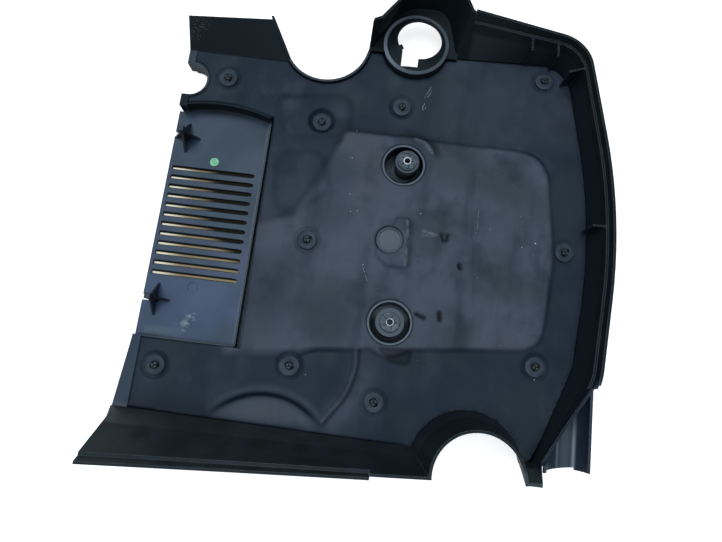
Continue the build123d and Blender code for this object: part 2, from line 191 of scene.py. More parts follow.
def noise(tree, size, detail=3.0, stretch=(1.0, 1.0, 1.0), shift=0.0):
    mapping = tree.nodes.new("ShaderNodeMapping")
    feedAll(tree, mapping, {"Vector": objectCoords(tree), "Scale": stretch, "Location": (shift,) * 3})
    node = tree.nodes.new("ShaderNodeTexNoise")
    feedAll(tree, node, {"Vector": mapping.outputs["Vector"], "Scale": 1.0 / (size * mm), "Detail": detail})
    return node.outputs[0]


def bandMask(tree, value, low, high, soft):
    above = spread(tree, value, low - soft, low + soft)
    below = spread(tree, value, high - soft, high + soft, 1.0, 0.0)
    return times(tree, above, below)


# Soft-edged box in the plan
def boxMask(tree, xRange, yRange, soft):
    x, y, z = objectPlace(tree)
    xMask = bandMask(tree, x, placeX(xRange[0]), placeX(xRange[1]), soft * mm)
    yMask = bandMask(tree, y, placeY(yRange[0]), placeY(yRange[1]), soft * mm)
    return times(tree, xMask, yMask)


def heightMask(tree, low, high, soft=0.8):
    return bandMask(tree, objectPlace(tree)[2], low * mm, high * mm, soft * mm)


def blockMask(tree, xRange, yRange, zRange, soft, zSoft):
    return times(tree, boxMask(tree, xRange, yRange, soft), heightMask(tree, *zRange, zSoft))


# Soft-edged ball
def spotMask(tree, spot, radius, soft):
    away = vectorCalc(tree, "DISTANCE", objectCoords(tree), at(*spot))["Value"]
    return spread(tree, away, (radius - soft) * mm, (radius + soft) * mm, 1.0, 0.0)


# Soft-edged ring in the plan, at any height
def ringMask(tree, spot, inner, outer, soft=0.6):
    flat = vectorCalc(tree, "MULTIPLY", objectCoords(tree), (1, 1, 0))["Vector"]
    away = vectorCalc(tree, "DISTANCE", flat, at(*spot))["Value"]
    return bandMask(tree, away, inner * mm, outer * mm, soft * mm)


def discMask(tree, spot, radius):
    return ringMask(tree, spot, -1.0, radius)  # an inner edge below nought leaves no hole


# Distance from a straight line in the plan, positive on its right
def rightOf(tree, start, end):
    x, y, z = objectPlace(tree)
    dx, dy = end[0] - start[0], end[1] - start[1]
    length = math.hypot(dx, dy)
    across = calc(tree, "MULTIPLY", calc(tree, "SUBTRACT", x, placeX(start[0])), dy / length)
    ahead = calc(tree, "MULTIPLY", calc(tree, "SUBTRACT", y, placeY(start[1])), dx / length)
    return calc(tree, "SUBTRACT", across, ahead)


def bump(tree, height, strength, depth, normal=None):
    node = tree.nodes.new("ShaderNodeBump")
    feedAll(tree, node, {"Height": height, "Strength": strength, "Distance": depth * mm})
    if normal:
        tree.links.new(normal, node.inputs["Normal"])
    return node.outputs[0]


def softEdge(tree, radius):
    node = tree.nodes.new("ShaderNodeBevel")
    node.samples = 6
    node.inputs["Radius"].default_value = radius * mm
    return node.outputs[0]


# One where an edge is near, nought on flat faces
def edgeMask(tree, radius):
    along = vectorCalc(tree, "DOT_PRODUCT", softEdge(tree, radius), surfaceNormal(tree))["Value"]
    return spread(tree, rest(tree, along), 0.02, 0.22)


def facingUp(tree, low=0.6, high=0.95):
    return spread(tree, splitUp(tree, surfaceNormal(tree))[2], low, high)


def newMaterial(name):
    material = bpy.data.materials.new(name)
    material.use_nodes = True
    tree = material.node_tree
    return material, tree, tree.nodes["Principled BSDF"]


# Plain finish of two tones, mottled by noise
def mottledMaterial(name, first, second, roughness, size, detail, low, high):
    material, tree, shader = newMaterial(name)
    share = spread(tree, noise(tree, size, detail), low, high)
    feedAll(tree, shader, {"Base Color": blendColour(tree, share, first, second), "Roughness": roughness})
    return material


def dress(piece, material):
    piece.data.materials.clear()
    piece.data.materials.append(material)


coolShine = (0.75, 0.92, 1.0, 1)  # highlights on foam, discs and rubber


# World and floor: a dim dome with a wide soft light overhead, white where the camera looks past the object
studio = {
    "dome": 0.30, "lamp": 2.1, "lampTowards": (-0.10, 0.12, 0.98), "lampCore": 14.0, "lampEdge": 42.0,
    "tint": (0.92, 0.98, 1.06, 1), "backdrop": (1, 1, 1, 1), "floorColour": (0.86, 0.86, 0.86, 1),
    "floorGlow": 0.78, "floorRoughness": 0.9, "floorSize": 6.0, "floorDrop": 0.3,
}


def makeWorld():
    world = bpy.data.worlds.new("studioDome")
    bpy.context.scene.world = world
    world.use_nodes = True
    tree = world.node_tree
    tree.nodes.clear()
    coords = tree.nodes.new("ShaderNodeTexCoord")
    lampWay = Vector(studio["lampTowards"]).normalized()
    towards = vectorCalc(tree, "DOT_PRODUCT", coords.outputs["Generated"], lampWay)["Value"]
    edge, core = [math.cos(math.radians(studio[key])) for key in ("lampEdge", "lampCore")]
    lamp = spread(tree, towards, edge, core, 0.0, studio["lamp"])
    dome = tree.nodes.new("ShaderNodeBackground")
    feedAll(tree, dome, {"Color": studio["tint"], "Strength": calc(tree, "ADD", lamp, studio["dome"])})
    white = tree.nodes.new("ShaderNodeBackground")
    white.inputs["Color"].default_value = studio["backdrop"]
    path = tree.nodes.new("ShaderNodeLightPath")
    mix = tree.nodes.new("ShaderNodeMixShader")
    out = tree.nodes.new("ShaderNodeOutputWorld")
    tree.links.new(path.outputs["Is Camera Ray"], mix.inputs[0])
    tree.links.new(dome.outputs[0], mix.inputs[1])
    tree.links.new(white.outputs[0], mix.inputs[2])
    tree.links.new(mix.outputs[0], out.inputs[0])


# Painted light and shade on the floor under the slotted panel: bright at the open left edge, fading through
# tan to dark towards the right
underPanel = {
    "xRange": (-256.5, -150.0), "yRange": (-72.0, 72.0), "edgeSoft": 0.5, "bright": (0.52, 0.49, 0.39, 1),
    "middle": (0.17, 0.135, 0.080, 1), "dark": (0.008, 0.008, 0.006, 1), "brightX": -248.5, "middleX": -222.0,
    "darkFromX": (-150.0, -210.0), "darkFromY": (-62.0, 10.0), "darkSoft": 12.0,
    "slotPitch": 11.0, "firstSlot": -60.5, "band": (-1.5, 0.75), "bandSoft": 0.45,
}


# Distance from the middle of the nearest grille slot, counted from a pitch and a half before the first
def slotAcross(tree, y):
    pitch = underPanel["slotPitch"]
    across = calc(tree, "SUBTRACT", y, placeY(underPanel["firstSlot"] - 1.5 * pitch))
    return calc(tree, "SUBTRACT", calc(tree, "MODULO", across, pitch * mm), pitch / 2 * mm)


def makeFloor():
    bpy.ops.mesh.primitive_plane_add(size=studio["floorSize"], location=(0, 0, -studio["floorDrop"] * mm))
    floor = bpy.context.object
    floor.name = "studioFloor"
    material, tree, shader = newMaterial("studioFloor")
    x, y, z = objectPlace(tree)
    # painted light and shade under the panel, seen through the grille slots
    toMiddle = spread(tree, x, placeX(underPanel["brightX"]), placeX(underPanel["middleX"]))
    darkLow, darkHigh = [placeY(value) for value in underPanel["darkFromY"]]
    darkRight, darkLeft = [placeX(value) for value in underPanel["darkFromX"]]
    past = calc(tree, "SUBTRACT", x, spread(tree, y, darkLow, darkHigh, darkRight, darkLeft))
    soft = underPanel["darkSoft"] * mm
    shade = blendColour(tree, toMiddle, underPanel["bright"], underPanel["middle"])
    shade = blendColour(tree, spread(tree, past, -soft, soft), shade, underPanel["dark"])
    # painted light in a band under each slot, painted shade between them
    low, high = [value * mm for value in underPanel["band"]]
    lit = bandMask(tree, slotAcross(tree, y), low, high, underPanel["bandSoft"] * mm)
    shade = blendColour(tree, lit, underPanel["dark"], shade)
    mask = boxMask(tree, underPanel["xRange"], underPanel["yRange"], underPanel["edgeSoft"])
    colour = blendColour(tree, mask, studio["floorColour"], shade)
    path = tree.nodes.new("ShaderNodeLightPath")
    glow = calc(tree, "MULTIPLY", path.outputs["Is Camera Ray"], studio["floorGlow"])
    feedAll(tree, shader, {
        "Base Color": colour, "Roughness": studio["floorRoughness"], "Specular IOR Level": 0.0,
        "Emission Color": colour, "Emission Strength": glow,
    })
    dress(floor, material)


bpy.context.scene.view_settings.view_transform = "Standard"
makeWorld()
makeFloor()
print("stage: world and floor")


# Moulded shell: black blue-grey plastic that shines softly where it faces up
shellLook = {
    # the light and bright tones are painted highlights and the dark tone painted shade; the tones for edges,
    # rim edges and the half-pipe's pale lines are painted highlights, the edge tone also used for a real pale
    # smear
    "base": (0.0080, 0.0125, 0.0175, 1), "dusty": (0.022, 0.030, 0.037, 1), "edgeGlintAndSmear": (0.080, 0.100, 0.130, 1),
    "grime": (0.012, 0.017, 0.015, 1), "light": (0.070, 0.088, 0.112, 1), "bright": (0.115, 0.140, 0.175, 1),
    "dark": (0.003, 0.0045, 0.006, 1), "rimGlint": (0.20, 0.24, 0.28, 1), "scuffed": (0.20, 0.235, 0.285, 1),
    "troughGlint": (0.27, 0.32, 0.37, 1), "violet": (0.034, 0.032, 0.076, 1), "teal": (0.014, 0.040, 0.048, 1),
    "panelLow": (0.026, 0.046, 0.108, 1), "panelHigh": (0.014, 0.027, 0.053, 1),
    "shine": (0.72, 0.90, 1.0, 1), "gloss": 0.5, "dullGloss": 0.13, "troughGloss": 0.34, "roughness": 0.36,
    "edgeRadius": 0.7, "cloudSize": 55.0, "grainSize": 1.1, "smudgeSize": 26.0, "streakSize": 9.0,
    # colours of single zones; the leg's paler tone is painted light on a wall turned to the light, the lobe's
    # darker tone painted shade in the filler's well
    "tones": {
        "leg": (0.044, 0.063, 0.066, 1), "trough": (0.017, 0.029, 0.045, 1), "strip": (0.010, 0.021, 0.04, 1),
        "lobe": (0.0068, 0.0105, 0.0125, 1), "flange": (0.0080, 0.0130, 0.0175, 1),
        "skirt": (0.0165, 0.0255, 0.0300, 1),
    },
    # ranges along X, Y and Z, then the softness in the plan and in height
    "zones": {
        "panel": ((-262.0, -149.5), (-129.0, 131.0), (-9.0, 5.5), 2.0, 1.5),
        "bank": ((-262, -146), (121, 152), (6, 40), 2.0, 2.0),
        "lobe": ((-60, 66), (216, 300), (-9, 99), 5.0, 0.8),
        "flange": ((-262, -60), (197, 245), (16, 60), 2.0, 0.8),
        "leg": ((138, 170), (-226, -209), (40, 90), 1.5, 0.8),
        "trough": ((164, 213), (-216, -108), (-9, 99), 1.5, 0.8),
        "strip": ((-280, -232), (-200, -128), (-9, 34), 2.0, 0.8),
        "skirt": ((-300, 175), (-260, -196), (-9, 99), 6.0, 0.8),
    },
    # cup, socket, radius of the tower, then the axis, range and strength of the painted light on one side of
    # the cup's inner wall
    "cups": [(upperCup, upperSocket, 13.6, 0, (-5, -15), 0.5),
             (lowerCup, lowerSocket, 15.6, 1, (-1, 13), 0.9)],
    "cupRim": (21.0, 24.0), "cupTop": (22.5, 24.6), "cupInner": 22.4, "pitHeight": (-9, 21),
    "towerTop": (16, 27), "rimHeight": (44, 99), "gateRadius": 14.6, "gateTop": (23.4, 26.0),
    "gateRing": (11.3, 12.3), "bead": (33.0, 37.4), "beadTop": (28.6, 31.0), "beadFade": (8.0, 30.0),
    "mouth": 36.0,
    "troughEdge": ((166, -205), (210, -124)), "troughGlints": [(184.6, 185.6, 0.55), (198.6, 200.4, 1.0)],
    "troughGlintY": (-150, -185), "troughGlintHeight": (30, 45),
    "panelFade": (-110, 60), "panelEdge": (-153.0, -150.6), "barsY": (-66, 66), "bars": 0.40,
    "slotBorder": (2.0, 2.75), "slotX": (-254.0, -162.5), "slotY": (-64, 64), "wallY": (-70, 70),
    "smear": ((-250, -209), (-127.5, -119)),
    "scuffs": [((-207.5, -100, 3), 2.6), ((-201.5, -105, 3), 5.0), ((-205.5, -113, 3), 5.5),
               ((-206.5, -118, 3), 3.0)],
    "dirt": [((-243, 219, 38), 11.0), ((-246, 211, 33), 8.0)],
}


# Painted highlight on the filler's bead: strongest on its left, least near its middle line
def beadLight(tree, bead):
    x, y, z = objectPlace(tree)
    near, far = shellLook["beadFade"]
    toLeft = spread(tree, x, placeX(filler[0] + far), placeX(filler[0] - far), 0.15, 1.0)
    sideways = calc(tree, "ABSOLUTE", calc(tree, "SUBTRACT", x, placeX(filler[0])))
    return times(tree, bead, toLeft, spread(tree, sideways, near * mm, far * mm, 0.35, 1.0))


def shellZones(tree):
    look = shellLook
    place = objectPlace(tree)
    zone = {name: blockMask(tree, *block) for name, block in look["zones"].items()}
    # painted highlights on the gate boss's top, the bead's left, the tops of cup rims and towers and one side
    # of each cup's inner wall; painted shade on the other side
    bead = times(tree, ringMask(tree, filler, *look["bead"]), heightMask(tree, *look["beadTop"]))
    lit = beadLight(tree, bead)
    gateTop = heightMask(tree, *look["gateTop"])
    light = [times(tree, discMask(tree, gateBoss, look["gateRadius"]), gateTop), lit]
    bright, pits = [lit], []
    for cup, socket, radius, axis, reach, strength in look["cups"]:
        top = times(tree, ringMask(tree, cup, *look["cupRim"]), heightMask(tree, *look["cupTop"]))
        tower = discMask(tree, socket, radius)
        inner = times(tree, ringMask(tree, cup, radius - 1.0, look["cupInner"]),
                     heightMask(tree, *look["pitHeight"], 1.5), rest(tree, tower))
        # painted light on one side of the cup's inner wall, painted shade on the other
        start, end = [at(*cup)[axis] + value * mm for value in reach]
        paleMix = spread(tree, place[axis], start, end, 0.0, strength)
        light += [top, times(tree, tower, heightMask(tree, *look["towerTop"], 4.0)), times(tree, inner, paleMix)]
        bright.append(times(tree, top, 0.45))
        pits.append(times(tree, inner, rest(tree, paleMix)))
    zone["light"], zone["bright"], zone["pits"] = [most(tree, *shares) for shares in (light, bright, pits)]
    # a ring on the gate boss's top keeps nearer the base colour: a painted shade line inside its painted
    # highlight
    zone["gateRing"] = times(tree, ringMask(tree, gateBoss, *look["gateRing"], 0.4), gateTop)
    # the lobe, with the filler's well, takes a darker tone: painted shade
    lobe = most(tree, zone["lobe"], discMask(tree, filler, look["mouth"]))
    zone["lobe"] = times(tree, lobe, rest(tree, bead))
    zone["trough"] = times(tree, zone["trough"], spread(tree, rightOf(tree, *look["troughEdge"]), -mm, mm))
    zone["rims"] = times(tree, heightMask(tree, *look["rimHeight"], 3.0), rest(tree, zone["trough"]))
    return zone


# Painted shade: dark walls of the grille slots and a thin dark border round each slot
def slotWalls(tree, panel):
    x, y, z = objectPlace(tree)
    panelX = shellLook["zones"]["panel"][0]
    walls = times(tree, panel, facingUp(tree, 0.9, 0.5), boxMask(tree, panelX, shellLook["wallY"], 1.0))
    low, high = [value * mm for value in shellLook["slotBorder"]]
    border = bandMask(tree, calc(tree, "ABSOLUTE", slotAcross(tree, y)), low, high, 0.3 * mm)
    ends = boxMask(tree, shellLook["slotX"], shellLook["slotY"], 0.8)
    return most(tree, walls, times(tree, border, ends, panel, 0.8))


# Panel tone, paler and bluer than the rest of the shell and most so towards its lower end: painted sheen;
# with faint teal and violet along the bars
def panelCoats(tree, panel):
    x, y, z = objectPlace(tree)
    low, high = [placeY(value) for value in shellLook["panelFade"]]
    tone = blendColour(tree, spread(tree, y, low, high), shellLook["panelLow"], shellLook["panelHigh"])
    along = noise(tree, 16.0, 3.0, (0.35, 1.4, 1.0), 0.6)
    tint = blendColour(tree, spread(tree, along, 0.40, 0.60), shellLook["teal"], shellLook["violet"])
    bars = boxMask(tree, shellLook["zones"]["panel"][0], shellLook["barsY"], 3.0)
    return (panel, tone), (times(tree, bars, panel, shellLook["bars"]), tint)


# Painted highlights: pale lines that run down the half-pipe
def troughGlintCoats(tree, trough):
    x, y, z = objectPlace(tree)
    top, foot = [placeY(value) for value in shellLook["troughGlintY"]]
    coats = []
    for low, high, strength in shellLook["troughGlints"]:
        line = bandMask(tree, x, placeX(low), placeX(high), 1.6 * mm)
        fade = spread(tree, y, top, foot, 0.15, strength)
        share = times(tree, line, trough, fade, heightMask(tree, *shellLook["troughGlintHeight"]))
        coats.append((share, shellLook["troughGlint"]))
    return coats


def scuffMask(tree):
    rub = spread(tree, noise(tree, 7.0, 2.0, shift=0.9), 0.44, 0.68)
    speck = spread(tree, noise(tree, 1.5, 4.0), 0.54, 0.68, 0.0, 0.4)
    shares = []
    for spots, soft, grain in ((shellLook["scuffs"], 0.5, rub), (shellLook["dirt"], 0.8, speck)):
        shares += [times(tree, spotMask(tree, spot, radius, radius * soft), grain) for spot, radius in spots]
    return most(tree, *shares)


def makeShellMaterial():
    look = shellLook
    material, tree, shader = newMaterial("shellPlastic")
    x, y, z = objectPlace(tree)
    cloud = noise(tree, look["cloudSize"], 4.0)
    smudge = noise(tree, look["smudgeSize"], 5.0, shift=0.5)
    streak = noise(tree, look["streakSize"], 5.0, (1.0, 6.0, 1.0), 0.3)
    zone = shellZones(tree)
    walls = slotWalls(tree, zone["panel"])
    dull = most(tree, walls, *[zone[name] for name in ("lobe", "pits", "flange", "bank", "rims")])
    lower = most(tree, zone["skirt"], zone["rims"])
    panelCoat, barCoat = panelCoats(tree, zone["panel"])
    coats = [
        # painted sheen on the grille panel
        panelCoat,
        (times(tree, zone["skirt"], spread(tree, cloud, 0.30, 0.62, 0.4, 1.0)), look["tones"]["skirt"]),
        (times(tree, lower, spread(tree, smudge, 0.42, 0.66)), look["grime"]),
        barCoat,
    ]
    coats += [(zone[name], look["tones"][name]) for name in ("leg", "trough", "lobe", "flange", "strip")]
    # painted highlights down the half-pipe
    coats += troughGlintCoats(tree, zone["trough"])
    dust = times(tree, spread(tree, cloud, 0.48, 0.72), facingUp(tree), rest(tree, dull), 0.45)
    # painted highlights along the panel's right edge and on the shell's edges, paler on the rims; the smear
    # on the panel is a real pale mark
    panelEdge = bandMask(tree, x, *[placeX(value) for value in look["panelEdge"]], 0.6 * mm)
    edge = times(tree, edgeMask(tree, look["edgeRadius"]), spread(tree, streak, 0.3, 0.6, 0.35, 0.9),
                rest(tree, walls))
    smear = times(tree, boxMask(tree, *look["smear"], 3.0), spread(tree, cloud, 0.40, 0.62, 0.1, 0.6),
                 zone["panel"])
    coats += [
        # painted highlights, a painted shade line on the gate boss and painted shade in the cups
        (times(tree, zone["light"], spread(tree, cloud, 0.35, 0.65, 0.6, 1.0)), look["light"]),
        (zone["bright"], look["bright"]),
        (times(tree, zone["gateRing"], 0.75), look["base"]),
        (zone["pits"], look["dark"]),
        (dust, look["dusty"]),
        # painted shade in and round the grille slots
        (walls, look["dark"]),
        (times(tree, panelEdge, zone["panel"], spread(tree, cloud, 0.35, 0.65, 0.2, 0.8)), look["edgeGlintAndSmear"]),
        (most(tree, edge, smear), blendColour(tree, zone["rims"], look["edgeGlintAndSmear"], look["rimGlint"])),
        (scuffMask(tree), look["scuffed"]),
    ]
    smoothZones = most(tree, zone["trough"], zone["strip"])
    gloss = times(tree, spread(tree, smoothZones, 0.0, 1.0, 1.0, look["troughGloss"] / look["gloss"]),
                 spread(tree, dull, 0.0, 1.0, look["gloss"], look["dullGloss"]))
    grain = noise(tree, look["grainSize"], 2.0)
    feedAll(tree, shader, {
        "Base Color": paint(tree, look["base"], coats),
        "Roughness": spread(tree, cloud, 0.30, 0.70, look["roughness"] - 0.05, look["roughness"] + 0.10),
        "Specular Tint": look["shine"], "Specular IOR Level": gloss,
        "Normal": bump(tree, grain, 0.10, 0.12, softEdge(tree, look["edgeRadius"])),
    })
    return material


dress(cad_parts["cover_shell"], makeShellMaterial())
print("stage: shell")


# Shapes in the plan, worked on whole arrays of points
def smooth(low, high, value):
    share = np.clip((value - low) / (high - low), 0.0, 1.0)
    return share * share * (3.0 - 2.0 * share)


# Rises over one range and falls over another
def within(value, rise, fall):
    return smooth(*rise, value) * smooth(*fall, value)


def bell(value, width, power=2):
    return np.exp(-(value / width) ** power)


def lineDistance(x, y, points):
    best = np.full(x.shape, 1e9)
    for (ax, ay), (bx, by) in zip(points, points[1:]):
        ex, ey = bx - ax, by - ay
        share = np.clip(((x - ax) * ex + (y - ay) * ey) / (ex * ex + ey * ey + 1e-12), 0.0, 1.0)
        best = np.minimum(best, np.hypot(x - ax - share * ex, y - ay - share * ey))
    return best


def insideLoop(x, y, points):
    inside = np.zeros(x.shape, bool)
    for (ax, ay), (bx, by) in zip(points, points[1:] + points[:1]):
        if ay != by:
            inside ^= ((ay > y) != (by > y)) & (x < (bx - ax) * (y - ay) / (by - ay) + ax)
    return inside


def insideAll(x, y, loops):
    inside = np.zeros(x.shape, bool)
    for loop in loops:
        inside ^= insideLoop(x, y, loop)
    return inside


# Distance to a closed outline, positive inside it
def loopDistance(x, y, points):
    away = lineDistance(x, y, points + points[:1])
    return np.where(insideLoop(x, y, points), away, -away)


# Closed outline with round corners, from (place, radius) pairs
def roundedLoop(corners, pieces=6):
    loop = []
    count = len(corners)
    for i, (place, radius) in enumerate(corners):
        here = Vector(place)
        if radius == 0:
            loop.append(tuple(here))
            continue
        back = (Vector(corners[i - 1][0]) - here).normalized()
        ahead = (Vector(corners[(i + 1) % count][0]) - here).normalized()
        reach = radius / math.tan(back.angle(ahead) / 2)
        start, end = here + back * reach, here + ahead * reach
        for k in range(pieces + 1):
            t = k / pieces
            loop.append(tuple(start * (1 - t) ** 2 + here * 2 * t * (1 - t) + end * t * t))
    return loop


# Smooth open line through a few places, moved sideways by shift
def smoothLine(places, pieces=8, shift=0.0):
    spots = [Vector((x + shift, y)) for x, y in places]
    spots = [spots[0] * 2 - spots[1]] + spots + [spots[-1] * 2 - spots[-2]]
    line = []
    for a, b, c, d in zip(spots, spots[1:], spots[2:], spots[3:]):
        for k in range(pieces):
            t = k / pieces
            line.append(tuple(((b * 2) + (c - a) * t + (a * 2 - b * 5 + c * 4 - d) * t * t
                               + (b * 3 - a - c * 3 + d) * t ** 3) / 2))
    line.append(tuple(spots[-2]))
    return line


# Foam liner: relief of its upper face, with outlines as (place, corner radius) pairs
linerShape = {
    "level": 21.0, "bottom": 3.2, "grid": 1.9, "edgeRound": 1.3, "wave": 0.35,
    "reach": 1.2, "fillerReach": 0.3, "fillerNear": 40.0,
    "field": [((-150, -131), 0), ((164, -94), 26), ((172, 0), 60), ((159, 114), 36), ((-59, 116), 8),
              ((-78, 60), 30), ((-104, 10), 20), ((-150, -8), 0)],
    "fieldRise": 4.0, "fieldSlope": 6.0, "leftSoft": 9.0, "leftX": (-60, -90), "cupPad": 31.5,
    # raised and sunk pads: outline, rise and where the slope begins and ends
    "pads": {
        "gateBlock": ([((6, 25), 3), ((18, 24), 1.5), ((20, -28), 1.5), ((0, -28), 5), ((-14, -16), 6)],
                      3.4, (-2.0, 0.5)),
        "box": ([((-140, 148), 8), ((-66, 157), 6), ((-60, 117), 10), ((-128, 106), 20)], 2.8, (-9.0, 3.0)),
        "recess": ([((-134, 86), 14), ((-84, 92), 20), ((-72, 50), 8), ((-104, 18), 14), ((-130, 30), 18)],
                   -3.6, (-8.0, 6.0)),
        "pocket": ([((-2, -113), 4), ((36, -112), 6), ((34, -129), 6), ((14, -126), 6)], -3.2, (-2.0, 3.0)),
    },
    "scoop": (-103, -247, 74), "scoopBase": -199.0, "scoopDepth": 4.0, "scoopLip": 1.2,
    "welt": [(-20, -119), (-20, -139), (-27, -165), (-46, -194)], "weltHeight": 3.2, "weltWidth": 4.5,
    "weltSharp": 2.2, "fold": [(-44, -122), (-50, -150), (-62, -182)], "foldHeight": 1.8, "foldWidth": 13.0,
    "step": [(84, 80), (86, 20), (95, -58)], "stepRise": 0.7, "stepFade": (26.0, 6.0),
    "ear": 34.5, "earTurn": ((12, 36), (88, 64)), "earRise": 3.0, "earWidth": 2.8,
    "slits": [((55, 13), (57, 6), 1.6), ((61, 13), (60, 6), 1.6), ((76, -18), (77, -21), 2.2),
              ((36, -75), (45, -78), 1.8), ((60, -71), (61, -78), 2.4)], "slitDepth": 4.5,
    "wedges": [((38, 14), (50, 12), 1.6), ((38, 9), (50, 11), 1.6)], "wedgeRise": 0.8,
    "collar": (100.2, -222.0, 60.7), "collarPush": 3.7, "collarFade": 24.0,
}
linerLook = {
    "low": (0.0085, 0.0175, 0.032, 1), "field": (0.066, 0.082, 0.112, 1), "brown": (0.060, 0.064, 0.074, 1),
    "haze": (0.030, 0.044, 0.061, 1), "glint": (0.26, 0.30, 0.34, 1), "green": (0.020, 0.034, 0.038, 1),
    "deep": (0.006, 0.013, 0.024, 1), "black": (0.0015, 0.0022, 0.0032, 1),
    "roughness": 0.58, "shine": 0.26, "grain": 0.9,
    # how pale each part of the foam is; the scoop's, the welt foot's and the lip's paleness is painted light
    "pale": {"left": 0.32, "scoop": 0.75, "weltFoot": 0.55, "top": 0.28, "lip": 0.35},
    # strength, distance and width of each shaded foot
    "shade": {
        "scoop": (0.55, 1.2, 1.7), "gateLeft": (0.6, 14.5, 2.4), "gateRight": (0.5, 22.5, 2.2),
        "weltFoot": (0.45, 0.0, 1.7), "ear": (0.75, 5.5, 3.6), "field": (0.40, 6.0, 4.5),
    },
    "cornerShade": 0.5, "pocketShade": 0.6,
    # round patches: X, Y, radius and strength
    "dimmed": [(-128, -72, 48, 0.52), (-52, -90, 32, 0.60), (-66, 72, 26, 0.5), (-64, 22, 22, 0.35),
               (70, -102, 24, 0.3), (112, 84, 26, 0.25)],
    # painted highlights near the box's upper corners
    "softGlints": [(-127, 142, 10, 0.35), (-70, 140, 11, 0.35)],
    # painted highlights as bright lines: places, width and strength
    "glints": [([(17, 22), (19, 6)], 1.1, 0.55), ([(19.2, -8), (19.8, -27)], 1.1, 0.45),
               ([(34, 14), (49, 12)], 1.3, 0.40), ([(34, 9), (49, 11)], 1.3, 0.40),
               ([(35, 102.8), (29.7, 109.7), (22.8, 115), (16.4, 117.9)], 1.8, 0.38)],
    "weltGlint": 0.13, "edgeGlint": 0.28, "edgeGlintWidth": 1.3,
}
# X, Y and seat of each push-on disc, and the flat that the foam is pressed to
retainers = [
    (-203, 168, 19.0), (-90, 127, 19.0), (-3, 156, 19.0), (154, 207, 19.0), (187, 10, 19.0),
    (163, -114, 19.0), (-224, -159, 19.0), (-87, -143, 19.0), (3, -169, 19.0), (-87, -10, 23.0),
]
dimple = {"flat": 11.6, "lip": 15.5, "sink": 0.1}


def undulation(x, y):
    across = np.sin(x / 41.0 + 0.7) * np.cos(y / 37.0 - 0.4)
    slanted = 0.6 * np.sin((x + y) / 23.0) * np.cos((x - 2 * y) / 61.0)
    return linerShape["wave"] * (across + slanted)


def fieldShare(x, y):
    slope = linerShape["fieldSlope"]
    soft = slope + linerShape["leftSoft"] * smooth(*linerShape["leftX"], x)
    share = smooth(-soft, 0.5, loopDistance(x, y, roundedLoop(linerShape["field"])))
    for cx, cy in (upperCup, lowerCup):
        pad = linerShape["cupPad"] - np.hypot(x - cx, y - cy)
        share = np.maximum(share, smooth(-slope, 0.5, pad))
    return share


# How far inside the scoop's round edge
def scoopInside(x, y):
    scoopX, scoopY, radius = linerShape["scoop"]
    return radius - np.hypot(x - scoopX, y - scoopY)


# Angle round the upper cup, and distance past the ear's ridge
def aroundEar(x, y):
    dx, dy = x - upperCup[0], y - upperCup[1]
    return np.degrees(np.arctan2(dy, dx)), np.hypot(dx, dy) - linerShape["ear"]


def scoopRelief(x, y):
    shape = linerShape
    base, top = shape["scoopBase"], shape["scoop"][1] + shape["scoop"][2]
    inside = scoopInside(x, y)
    slope = np.clip((y - base) / (top - base), 0.0, 1.0)
    lip = shape["scoopLip"] * bell(inside + 4.0, 5.0) * smooth(base - 8, base + 8, y)
    return lip - shape["scoopDepth"] * smooth(-1.0, 3.5, inside) * slope ** 0.7


def stepRelief(x, y):
    step = linerShape["step"]
    past = x - np.interp(-y, [-p[1] for p in step], [p[0] for p in step])
    span = within(y, (-66, -50), (88, 74))
    return -linerShape["stepRise"] * within(past, (-1.5, 1.5), linerShape["stepFade"]) * span


def relief(x, y):
    shape = linerShape
    z = shape["level"] + undulation(x, y) + shape["fieldRise"] * fieldShare(x, y)
    for outline, rise, slope in shape["pads"].values():
        z += rise * smooth(*slope, loopDistance(x, y, roundedLoop(outline)))
    turn, away = aroundEar(x, y)
    z += shape["earRise"] * bell(away, shape["earWidth"]) * within(turn, *shape["earTurn"])
    z += scoopRelief(x, y) + stepRelief(x, y)
    away = lineDistance(x, y, smoothLine(shape["welt"])) / shape["weltWidth"]
    z += shape["weltHeight"] * np.exp(-away ** 2 * shape["weltSharp"])
    z += shape["foldHeight"] * bell(lineDistance(x, y, smoothLine(shape["fold"])), shape["foldWidth"])
    for start, end, width in shape["slits"]:
        z -= shape["slitDepth"] * bell(lineDistance(x, y, [start, end]), width, 4)
    for start, end, width in shape["wedges"]:
        z += shape["wedgeRise"] * bell(lineDistance(x, y, [start, end]), width)
    for cx, cy, seat in retainers:
        share = smooth(dimple["flat"], dimple["lip"], np.hypot(x - cx, y - cy))
        z = (seat - dimple["sink"]) * (1 - share) + z * share
    return z


# Share of the paler tone: the raised field, the area left of it and the upper right; painted light in the
# scoop, at the foot of the welt, along the scoop's lip and in two soft spots on the box; darker round patches
def paleShare(x, y):
    pale, base = linerLook["pale"], linerShape["scoopBase"]
    inside = scoopInside(x, y)
    weltFoot = lineDistance(x, y, smoothLine(linerShape["welt"], shift=9))
    share = np.maximum.reduce([
        fieldShare(x, y),
        pale["left"] * within(x, (-165, -135), (-40, -80)) * within(y, (-135, -112), (112, 70)),
        pale["scoop"] * smooth(1.0, 9.0, inside) * smooth(base - 10, base + 6, y),
        pale["weltFoot"] * bell(weltFoot, 13.0),
        pale["top"] * smooth(105, 150, y) * smooth(-30, 40, x),
    ])
    for cx, cy, radius, strength in linerLook["dimmed"]:
        share = share * (1 - strength * bell(np.hypot(x - cx, y - cy), radius, 4))
    for cx, cy, radius, strength in linerLook["softGlints"]:
        share = np.maximum(share, strength * bell(np.hypot(x - cx, y - cy), radius))
    return np.maximum(share, pale["lip"] * bell(inside + 5.0, 3.5) * smooth(base - 4, base + 10, y))


